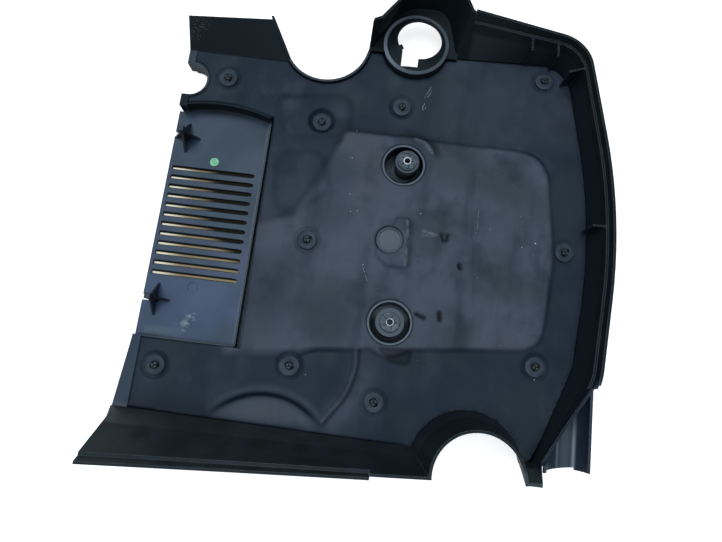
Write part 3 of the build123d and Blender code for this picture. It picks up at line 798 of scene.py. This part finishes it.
# Painted highlights: thin bright lines where an edge catches the light
def glintShare(x, y):
    weltLine = smoothLine(linerShape["welt"], shift=-1.2)
    glint = linerLook["weltGlint"] * bell(lineDistance(x, y, weltLine), 1.6)
    for places, width, strength in linerLook["glints"]:
        glint = np.maximum(glint, strength * bell(lineDistance(x, y, places), width))
    return glint


# Painted highlight where the liner's edge catches light along the right wall and round the collar
def edgeGlint(x, y, away):
    collarX, collarY, radius = linerShape["collar"]
    byCollar = smooth(radius + 9, radius + 4, np.hypot(x - collarX, y - collarY))
    near = np.maximum(smooth(140, 165, x), byCollar)
    return linerLook["edgeGlint"] * bell(away, linerLook["edgeGlintWidth"]) * near


# Share of black, all painted shade: slits, the pocket, the lower left corner and the shaded feet of raised
# forms
def darkShare(x, y):
    shape, base = linerShape, linerShape["scoopBase"]
    earTurn, pastEar = aroundEar(x, y)
    gateTurn = np.degrees(np.arctan2(y, x)) % 360
    outside = -loopDistance(x, y, roundedLoop(shape["field"]))
    feet = {
        "scoop": (scoopInside(x, y), smooth(base, base + 14, y)),
        "gateLeft": (np.hypot(x, y), within(gateTurn, (60, 100), (290, 240))),
        "gateRight": (x + y / 30, within(y, (-30, -24), (27, 20))),
        "weltFoot": (lineDistance(x, y, smoothLine(shape["welt"], shift=2.6)), 1.0),
        "ear": (pastEar, within(earTurn, (10, 30), (105, 85))),
        "field": (outside, smooth(95, 108, y) * smooth(60, 20, x)),
    }
    pocket = smooth(-3.0, 3.0, loopDistance(x, y, roundedLoop(shape["pads"]["pocket"][0])))
    corner = smooth(-178, -204, y) * smooth(-120, -175, x)
    dark = [linerLook["pocketShade"] * pocket, linerLook["cornerShade"] * corner]
    for start, end, width in shape["slits"]:
        dark.append(bell(lineDistance(x, y, [start, end]), width * 0.8, 4))
    for name, (away, span) in feet.items():
        strength, distance, width = linerLook["shade"][name]
        dark.append(strength * bell(away - distance, width) * span)
    return np.maximum.reduce(dark)


# Closed rims of an open sheet, as vertex numbers
def openRims(faces):
    edges = {pair for face in faces for pair in zip(face, face[1:] + face[:1])}
    following = {}
    for a, b in sorted(edges):
        if (b, a) not in edges:
            following.setdefault(a, []).append(b)
    rims = []
    while following:
        spot = next(iter(following))
        loop = []
        while not loop or spot != loop[0]:
            loop.append(spot)
            ahead = following[spot].pop()
            if not following[spot]:
                del following[spot]
            spot = ahead
        rims.append(loop)
    return rims


# Loops round the flat underside of a CAD node, in gate millimetres
def undersideLoops(node):
    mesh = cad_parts[node].data
    places = np.empty(len(mesh.vertices) * 3)
    mesh.vertices.foreach_get("co", places)
    known = {}
    index = [known.setdefault(tuple(np.round(place / mm, 2)), len(known)) for place in places.reshape(-1, 3)]
    spots = list(known)
    level = min(spot[2] for spot in spots) + 0.05
    mesh.calc_loop_triangles()
    triangles = [tuple(index[v] for v in triangle.vertices) for triangle in mesh.loop_triangles]
    flat = [triangle for triangle in triangles if max(spots[i][2] for i in triangle) < level]
    return [[(spots[i][0] - gateX / mm, spots[i][1] - gateY / mm) for i in loop] for loop in openRims(flat)]


def divided(loop, step):
    points = []
    for (ax, ay), (bx, by) in zip(loop, loop[1:] + loop[:1]):
        pieces = max(1, round(math.hypot(bx - ax, by - ay) / step))
        points += [(ax + (bx - ax) * i / pieces, ay + (by - ay) * i / pieces) for i in range(pieces)]
    return points


# Outer loop moved out towards the walls, less far where the filler stands close
def movedOut(loop):
    spots = np.array(loop)
    along = np.roll(spots, -1, axis=0) - np.roll(spots, 1, axis=0)
    out = np.stack([along[:, 1], -along[:, 0]], axis=1) / np.linalg.norm(along, axis=1)[:, None]
    area = np.sum(spots[:, 0] * np.roll(spots[:, 1], -1) - np.roll(spots[:, 0], -1) * spots[:, 1])
    near = np.hypot(spots[:, 0] - filler[0], spots[:, 1] - filler[1]) < linerShape["fillerNear"]
    share = np.where(near, linerShape["fillerReach"], linerShape["reach"])[:, None]
    return [tuple(p) for p in spots + out * share * np.sign(area)]


# Triangles between closed loops, with loose points inside, all facing up
def fillLoops(loops, extra):
    points = [p for loop in loops for p in loop]
    edges = []
    start = 0
    for loop in loops:
        count = len(loop)
        edges += [(start + i, start + (i + 1) % count) for i in range(count)]
        start += count
    result = delaunay_2d_cdt([Vector(p) for p in points + extra], edges, [], 1, 1e-5)
    spots = np.array([tuple(v) for v in result[0]])
    faces = np.array([f for f in result[2] if len(f) == 3])
    middle = spots[faces].mean(axis=1)
    faces = faces[insideAll(middle[:, 0], middle[:, 1], loops)]
    first, second, third = [spots[faces[:, k]] for k in range(3)]
    ahead, aside = second - first, third - first
    turned = ahead[:, 0] * aside[:, 1] < ahead[:, 1] * aside[:, 0]
    faces[turned] = faces[turned][:, ::-1]
    return spots, faces


def newPiece(name, vertices, faces, material):
    mesh = bpy.data.meshes.new(name)
    mesh.from_pydata(vertices, [], faces)
    mesh.update()
    mesh.shade_smooth()
    piece = bpy.data.objects.new(name, mesh)
    bpy.context.collection.objects.link(piece)
    dress(piece, material)
    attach(piece, "root")
    return piece


# The upper edge leans out over the foot of the half-round collar
def pushToCollar(x, y):
    collarX, collarY, radius = linerShape["collar"]
    away = np.hypot(x - collarX, y - collarY)
    push = linerShape["collarPush"] * np.clip(1 - (away - radius) / linerShape["collarFade"], 0, 1)
    return x - (x - collarX) / away * push, y - (y - collarY) / away * push


def vertexShare(tree, name):
    node = tree.nodes.new("ShaderNodeAttribute")
    node.attribute_name = name
    return node.outputs["Fac"]


def makeLinerMaterial():
    look = linerLook
    material, tree, shader = newMaterial("linerFoam")
    pale = vertexShare(tree, "pale")
    cloud = noise(tree, 60.0, 4.0)
    patch = noise(tree, 95.0, 3.0, shift=0.7)
    blot = noise(tree, 46.0, 5.0, shift=0.2)
    brushed = noise(tree, 34.0, 4.0, (1.0, 0.22, 1.0), 0.4)
    paleMix = noise(tree, 24.0, 4.0, (1.0, 0.7, 1.0), 0.8)
    speckle = noise(tree, 3.0, 4.0)
    # the paler tone carries the field's tone and painted light
    share = calc(tree, "ADD", pale, calc(tree, "SUBTRACT", cloud, 0.5), True)
    broken = spread(tree, speckle, 0.38, 0.62, 0.3, 1.0)
    colour = paint(tree, look["low"], [
        (share, look["field"]),
        (times(tree, spread(tree, patch, 0.50, 0.70, 0.0, 0.5), pale), look["brown"]),
        (spread(tree, patch, 0.50, 0.34, 0.0, 0.5), look["green"]),
        (spread(tree, paleMix, 0.52, 0.72, 0.0, 0.6), look["haze"]),
        (spread(tree, blot, 0.50, 0.72, 0.0, 0.55), look["deep"]),
        (spread(tree, brushed, 0.50, 0.72, 0.0, 0.5), look["deep"]),
        # painted highlights
        (times(tree, vertexShare(tree, "glint"), broken), look["glint"]),
        # painted shade
        (vertexShare(tree, "dark"), look["black"]),
    ])
    fine = noise(tree, look["grain"], 2.0)
    feedAll(tree, shader, {
        "Base Color": colour,
        "Roughness": spread(tree, cloud, 0.3, 0.7, look["roughness"] - 0.08, look["roughness"] + 0.12),
        "Specular IOR Level": look["shine"], "Specular Tint": coolShine,
        "Normal": bump(tree, fine, 0.18, 0.2, bump(tree, speckle, 0.12, 0.5)),
    })
    return material


# Loose points inside the loops, in rows set off by half a step, clear of the rim
def gridInside(loops, rimAway):
    step = linerShape["grid"]
    rim = np.array([p for loop in loops for p in loop])
    low, high = rim.min(axis=0), rim.max(axis=0)
    grid = []
    for row, y in enumerate(np.arange(low[1], high[1], step * 0.866)):
        grid += [(x, y) for x in np.arange(low[0] + step / 2 * (row % 2), high[0], step)]
    grid = np.array(grid)
    grid = grid[insideAll(grid[:, 0], grid[:, 1], loops)]
    return [tuple(p) for p in grid[rimAway(grid) > step * 0.55]]


def makeLiner():
    loops = [divided(loop, linerShape["grid"]) for loop in undersideLoops("acoustic_liner")]
    loops.sort(key=len)
    loops[-1] = movedOut(loops[-1])
    rim = [p for loop in loops for p in loop]
    nearest = KDTree(len(rim))
    for i, (x, y) in enumerate(rim):
        nearest.insert((x, y, 0.0), i)
    nearest.balance()

    def rimAway(points):
        return np.array([nearest.find((x, y, 0.0))[2] for x, y in points])

    spots, topFaces = fillLoops(loops, gridInside(loops, rimAway))
    x, y = spots[:, 0], spots[:, 1]
    away = rimAway(spots)
    edge = np.clip(1 - away / linerShape["edgeRound"], 0, 1)
    top = relief(x, y) - linerShape["edgeRound"] * (1 - np.sqrt(1 - edge ** 2 * 0.98))
    vertices = [at(*place) for place in zip(*pushToCollar(x, y), top)]
    faces = [tuple(int(i) for i in f) for f in topFaces]
    # the flat underside and the walls between the two
    rims = openRims(faces)
    under, underFaces = fillLoops([[tuple(spots[i]) for i in loop] for loop in rims], [])
    offset = len(vertices)
    vertices += [at(px, py, linerShape["bottom"]) for px, py in under]
    faces += [tuple(int(i) + offset for i in f[::-1]) for f in underFaces]
    below = {tuple(np.round(p, 3)): i + offset for i, p in enumerate(under)}
    for loop in rims:
        for a, b in zip(loop, loop[1:] + loop[:1]):
            lowA, lowB = [below[tuple(np.round(spots[i], 3))] for i in (a, b)]
            faces.append((a, lowA, lowB, b))
    piece = newPiece("linerPad", vertices, faces, makeLinerMaterial())
    glint = np.maximum(glintShare(x, y), edgeGlint(x, y, away))
    for name, share in (("pale", paleShare(x, y)), ("dark", darkShare(x, y)), ("glint", glint)):
        values = np.zeros(len(vertices), np.float32)
        values[:len(spots)] = share
        piece.data.attributes.new(name, "FLOAT", "POINT").data.foreach_set("value", values)
    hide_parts("acoustic_liner")


makeLiner()
print("stage: liner")


# Adds a ring turned from a closed profile of (radius, height) pairs, which runs outward along its top
def addTurned(vertices, faces, profile, spot, base, around):
    start, count = len(vertices), len(profile)
    for i in range(around):
        angle = i / around * 2 * math.pi
        outX, outY = math.cos(angle), math.sin(angle)
        vertices += [at(spot[0] + r * outX, spot[1] + r * outY, base + h) for r, h in profile]
        a, b = start + i * count, start + (i + 1) % around * count
        faces += [(a + k, a + (k + 1) % count, b + (k + 1) % count, b + k) for k in range(count)]


# Push-on retainers
retainerLook = {
    "colour": (0.018, 0.029, 0.044, 1), "dusty": (0.040, 0.055, 0.075, 1), "roughness": 0.55, "shine": 0.3,
    "around": 36, "profile": [(3.2, 2.0), (5.2, 2.0), (6.0, 2.35), (9.6, 2.4), (10.5, 1.9), (10.8, 1.2),
                              (10.8, 0.1), (3.2, 0.1)],
}


def makeRetainerMaterial():
    look = retainerLook
    material, tree, shader = newMaterial("retainerPlastic")
    colour = paint(tree, look["colour"], [
        (spread(tree, noise(tree, 14.0, 4.0), 0.35, 0.70), look["dusty"]),
        # the rims take the paler dusty tone as a painted highlight
        (times(tree, edgeMask(tree, 0.5), 0.5), look["dusty"]),
    ])
    feedAll(tree, shader, {
        "Base Color": colour, "Roughness": look["roughness"],
        "Specular Tint": coolShine, "Specular IOR Level": look["shine"],
        "Normal": bump(tree, noise(tree, 1.2, 3.0), 0.15, 0.2, softEdge(tree, 0.4)),
    })
    return material


def makeRetainers():
    vertices, faces = [], []
    for cx, cy, seat in retainers:
        addTurned(vertices, faces, retainerLook["profile"], (cx, cy), seat, retainerLook["around"])
    piece = newPiece("retainerDiscs", vertices, faces, makeRetainerMaterial())
    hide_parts("liner_retainers")


# Melted heads of the stake posts
stakeLook = {
    "colour": (0.004, 0.005, 0.006, 1), "chalk": (0.10, 0.12, 0.145, 1), "roughness": 0.8, "shine": 0.2,
    "radius": 4.1, "base": 2.2, "height": 1.3, "lumps": 0.32, "dent": 0.35,
    "rings": 5, "spokes": 22, "seed": 11,
}


def makeStakeMaterial():
    material, tree, shader = newMaterial("stakeHead")
    fleck = noise(tree, 1.6, 5.0)
    chalky = spread(tree, fleck, 0.62, 0.74)
    feedAll(tree, shader, {
        "Base Color": blendColour(tree, chalky, stakeLook["colour"], stakeLook["chalk"]),
        "Roughness": stakeLook["roughness"], "Specular IOR Level": stakeLook["shine"],
        "Normal": bump(tree, fleck, 0.6, 0.5),
    })
    return material


# Lumpy domes, one for each post
def makeStakes():
    look = stakeLook
    rings, spokes = look["rings"], look["spokes"]
    draw = random.Random(look["seed"])
    vertices, faces = [], []
    for cx, cy, seat in retainers:
        start = len(vertices)
        phases = [draw.uniform(0, 6.28) for _ in range(4)]
        for ring in range(rings + 1):
            share = ring / rings
            for spoke in range(spokes):
                angle = spoke / spokes * 2 * math.pi
                lump = sum(math.sin(angle * (k + 2) + phases[k]) / (k + 2) for k in range(4))
                radius = look["radius"] * (1 + look["lumps"] * lump) * max(share, 0.02)
                dent = look["dent"] * math.sin(angle * 3 + phases[0]) * share * (1 - share) * 4
                level = seat + look["base"] + look["height"] * (1 - share ** 3) + dent
                vertices.append(at(cx + radius * math.cos(angle), cy + radius * math.sin(angle), level))
        for ring in range(rings):
            for spoke in range(spokes):
                a = start + ring * spokes + spoke
                b = start + ring * spokes + (spoke + 1) % spokes
                faces.append((a, a + spokes, b + spokes, b))
        faces.append(tuple(start + rings * spokes + k for k in reversed(range(spokes))))
        faces.append(tuple(start + k for k in range(spokes)))
    newPiece("stakeHeads", vertices, faces, makeStakeMaterial())


makeRetainers()
makeStakes()
print("stage: retainers")


# Rubber sockets with a raised ring round each stud hole; rings are (radius, thickness)
socketLook = {
    "colour": (0.030, 0.042, 0.058, 1), "bright": (0.20, 0.25, 0.31, 1), "pale": (0.62, 0.67, 0.72, 1),
    "roughness": 0.42, "ringRoughness": 0.3, "level": 28.4, "around": 40, "across": 10,
    "holeRing": (3.7, 0.8), "lowerRing": (3.5, 0.5), "outerRing": (8.6, 0.45),
}


def makeSocketMaterial():
    material, tree, shader = newMaterial("socketRubber")
    colour = paint(tree, socketLook["colour"], [
        (spread(tree, noise(tree, 5.0, 4.0), 0.4, 0.7, 0.0, 0.35), socketLook["bright"]),
        # painted highlight on the edges
        (edgeMask(tree, 0.5), socketLook["bright"]),
    ])
    feedAll(tree, shader, {
        "Base Color": colour, "Roughness": socketLook["roughness"], "Specular Tint": coolShine,
        "Normal": softEdge(tree, 0.4),
    })
    return material


def makeRing(name, spot, ring, material):
    radius, thick = ring
    turns = [-k / socketLook["across"] * 2 * math.pi for k in range(socketLook["across"])]
    profile = [(radius + thick * math.cos(turn), thick * math.sin(turn)) for turn in turns]
    vertices, faces = [], []
    addTurned(vertices, faces, profile, spot, socketLook["level"], socketLook["around"])
    newPiece(name, vertices, faces, material)


socketMaterial = makeSocketMaterial()
# the stud-hole rings are mottled pale: painted highlight
ringMaterial = mottledMaterial("socketRing", socketLook["bright"], socketLook["pale"],
                               socketLook["ringRoughness"], 2.5, 4.0, 0.3, 0.6)
for node in ("upper_socket", "lower_socket"):
    dress(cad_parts[node], socketMaterial)
makeRing("upperHoleRing", upperSocket, socketLook["holeRing"], ringMaterial)
makeRing("upperOuterRing", upperSocket, socketLook["outerRing"], socketMaterial)
makeRing("lowerHoleRing", lowerSocket, socketLook["lowerRing"], ringMaterial)
print("stage: sockets")


# Green check sticker
dotLook = {"colour": (0.150, 0.500, 0.290, 1), "pale": (0.260, 0.620, 0.400, 1), "roughness": 0.5}
dotMaterial = mottledMaterial("greenSticker", dotLook["colour"], dotLook["pale"], dotLook["roughness"],
                              4.0, 4.0, 0.35, 0.7)
dress(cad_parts["inspection_dot"], dotMaterial)
print("stage: sticker")


# Chips as (X, Y, radius), scratches as (places, width) and fine dust, all lying on the liner
flecks = {
    "chips": [(-50, 121, 1.0), (-51, 87, 1.0), (-53, 88, 0.6), (-56, 88, 0.5), (-54, 122, 0.5), (30, 33, 0.9),
              (-25, -30, 0.8), (154, 15, 1.3), (147, 16, 0.8), (142, 29, 0.5), (140, 9, 0.6),
              (163, -127, 1.2), (-69, -150, 1.0), (-47, 74, 0.5), (-43, 40, 0.5), (-48, 46, 0.5),
              (105, 25, 0.6), (117, 18, 0.5), (-45, 26, 0.7), (-38, 28, 0.6)],
    "scratches": [([(-25, -32), (-22, -38)], 0.5), ([(-21, -41), (-18, -47)], 0.4),
                  ([(92, 46), (91.5, 36)], 0.35), ([(91.5, 34), (92, 25)], 0.45),
                  ([(92, 25), (89, 21)], 0.5), ([(88, 20), (92, 19)], 0.35),
                  ([(27, 184), (25, 178), (23, 175)], 0.9), ([(28, 181), (27, 176), (24, 171)], 0.5),
                  ([(23, 175), (21, 169)], 0.4), ([(22, 163), (20, 159), (21, 155)], 0.8),
                  ([(23, 160), (23, 156)], 0.5)],
    "dust": 170, "dustX": (-60, 165), "dustY": (-125, 120), "dustRadius": (0.12, 0.34), "clear": 30.0,
    "seed": 5,
    "colour": (0.80, 0.83, 0.85, 1), "scratchColour": (0.26, 0.30, 0.33, 1), "roughness": 0.7, "dim": 0.35,
    "lift": 0.12, "chipSink": 0.1, "chipHeight": 0.15, "sides": 6, "scratchSink": 0.3,
}


def makeFleckMaterial(name, colour):
    dim = tuple(channel * flecks["dim"] for channel in colour[:3]) + (1,)
    return mottledMaterial(name, dim, colour, flecks["roughness"], 1.5, 3.0, 0.38, 0.62)


def reliefAt(x, y):
    return float(relief(np.array([x], float), np.array([y], float))[0])


# Low ragged cones for the chips and the dust
def makeFlecks():
    draw = random.Random(flecks["seed"])
    sides = flecks["sides"]
    dustX = [draw.uniform(*flecks["dustX"]) for _ in range(flecks["dust"])]
    dustY = [draw.uniform(*flecks["dustY"]) for _ in range(flecks["dust"])]
    spots = list(flecks["chips"])
    for x, y in zip(dustX, dustY):
        if min(math.hypot(x - cx, y - cy) for cx, cy in (gateBoss, upperCup, lowerCup)) > flecks["clear"]:
            spots.append((x, y, draw.uniform(*flecks["dustRadius"])))
    vertices, faces = [], []
    for x, y, radius in spots:
        start = len(vertices)
        level = reliefAt(x, y) + flecks["lift"]
        turn = draw.uniform(0, 6.28)
        squeeze = draw.uniform(0.5, 1.0)
        for k in range(sides):
            angle = k / sides * 2 * math.pi
            reach = radius * draw.uniform(0.7, 1.2)
            u, v = reach * math.cos(angle), reach * squeeze * math.sin(angle)
            px = x + u * math.cos(turn) - v * math.sin(turn)
            py = y + u * math.sin(turn) + v * math.cos(turn)
            vertices.append(at(px, py, level - flecks["chipSink"]))
        vertices.append(at(x, y, level + flecks["chipHeight"]))
        faces += [(start + k, start + (k + 1) % sides, start + sides) for k in range(sides)]
        faces.append(tuple(start + k for k in reversed(range(sides))))
    newPiece("paleFlecks", vertices, faces, makeFleckMaterial("paleFleck", flecks["colour"]))


# Thin closed strips with four corners at each place
def makeScratches():
    sink = flecks["scratchSink"]
    vertices, faces = [], []
    for places, width in flecks["scratches"]:
        line = smoothLine(places, 6)
        first = len(vertices)
        for i, (x, y) in enumerate(line):
            (ax, ay), (bx, by) = line[max(i - 1, 0)], line[min(i + 1, len(line) - 1)]
            length = math.hypot(bx - ax, by - ay)
            sideX, sideY = -(by - ay) / length * width / 2, (bx - ax) / length * width / 2
            for side, drop in ((1, 0.0), (-1, 0.0), (-1, sink), (1, sink)):
                px, py = x + sideX * side, y + sideY * side
                vertices.append(at(px, py, reliefAt(px, py) + flecks["lift"] - drop))
        last = len(vertices) - 4
        for start in range(first, last, 4):
            corners = [(start + k, start + (k + 1) % 4) for k in range(4)]
            faces += [(a, b, b + 4, a + 4) for a, b in corners]
        faces += [(first + 3, first + 2, first + 1, first), (last, last + 1, last + 2, last + 3)]
    material = makeFleckMaterial("paleScratch", flecks["scratchColour"])
    newPiece("paleScratches", vertices, faces, material)


makeFlecks()
makeScratches()
print("stage: flecks")
